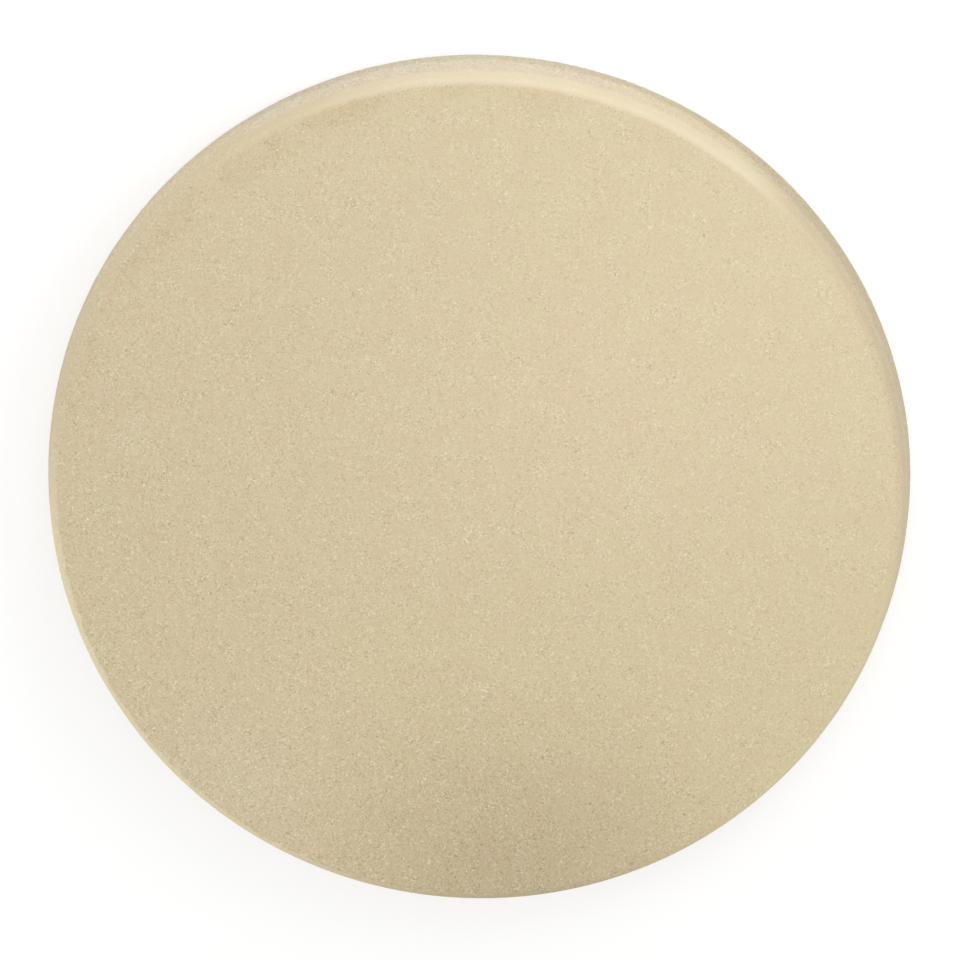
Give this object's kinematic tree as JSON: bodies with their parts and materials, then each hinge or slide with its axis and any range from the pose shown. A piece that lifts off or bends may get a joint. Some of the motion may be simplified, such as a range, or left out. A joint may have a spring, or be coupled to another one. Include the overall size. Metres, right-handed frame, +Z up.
{
  "type": "pizza stone",
  "caption": "Round flat baking stone of pale sandy ceramic with a rounded, slightly drafted rim, laid on an oven rack to bake pizza or bread on.",
  "frame": {"origin": "centre of the underside, on the surface that the stone rests on", "axes": "+Z up out of the baking face along the stone's axis of revolution; +Y towards the top of the picture and +X to its right"},
  "size_m": [0.29, 0.29, 0.025],
  "materials": {
    "stone_ceramic": "matte, unglazed, fine sandy grain"
  },
  "bodies": {
    "root": {"baking_stone": "stone_ceramic"}
  },
  "joints": []
}
